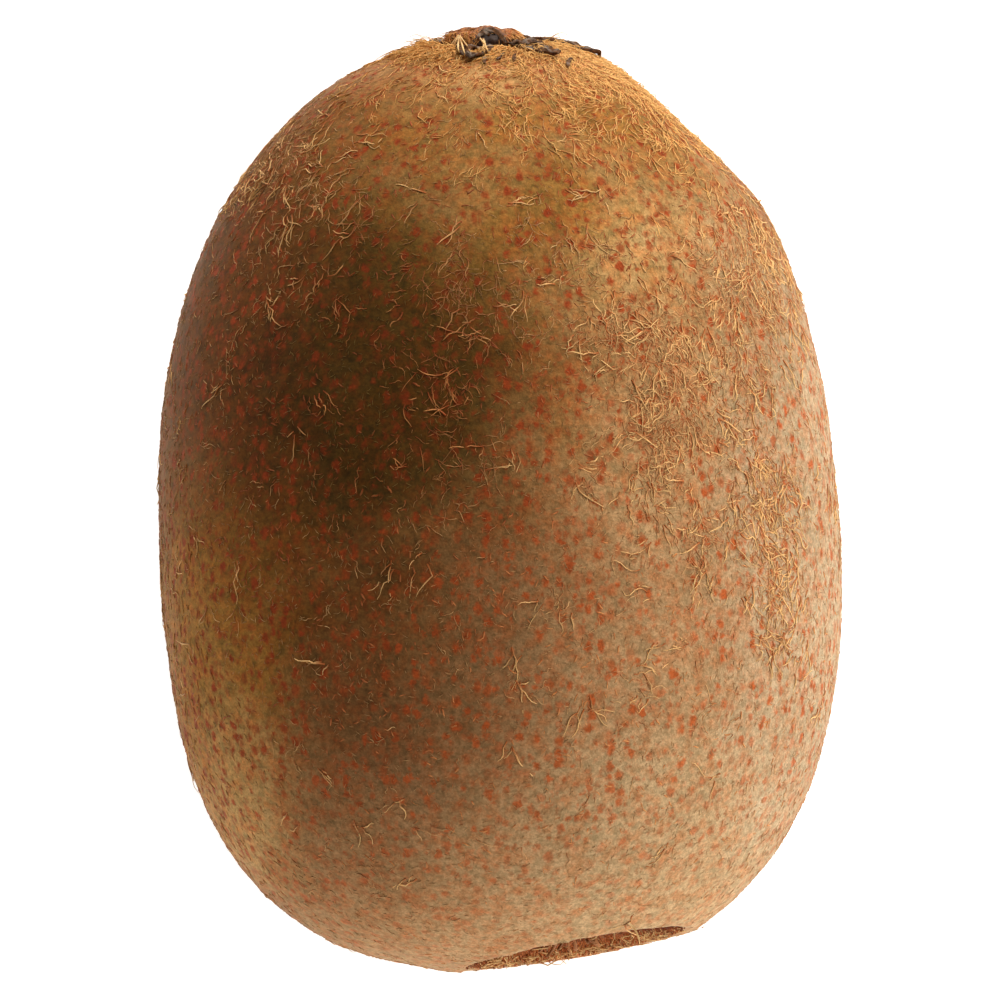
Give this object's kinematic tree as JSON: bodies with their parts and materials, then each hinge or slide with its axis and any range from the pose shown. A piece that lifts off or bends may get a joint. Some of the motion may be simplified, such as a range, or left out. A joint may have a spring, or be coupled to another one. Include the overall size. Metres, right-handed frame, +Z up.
{
  "type": "kiwifruit",
  "caption": "Whole fuzzy egg-shaped fruit lying on its side, with a stalk stub ringed by dried sepals at one end and a shallow hairy dip at the other.",
  "frame": {"origin": "on the resting surface, under the middle of the fruit's box", "axes": "+Y from the blossom end to the stalk end, +Z up from the flat spot that it rests on"},
  "size_m": [0.0502, 0.0696, 0.0463],
  "materials": {
    "skin": "dull olive-tan skin, dotted with rust-red bristle bases and covered with golden-brown fuzz",
    "stalk_wood": "dry red-brown woody scar, fibrous and dull",
    "dried_sepal": "dried papery calyx, near black with a grey sheen",
    "dried_style": "dried thread-like styles, dull brown"
  },
  "bodies": {
    "root": {"fruit": "skin", "stalk_stub": "stalk_wood", "sepal_1": "dried_sepal", "sepal_2": "dried_sepal", "sepal_3": "dried_sepal", "sepal_4": "dried_sepal", "sepal_5": "dried_sepal", "style_tuft": "dried_style"}
  },
  "joints": []
}
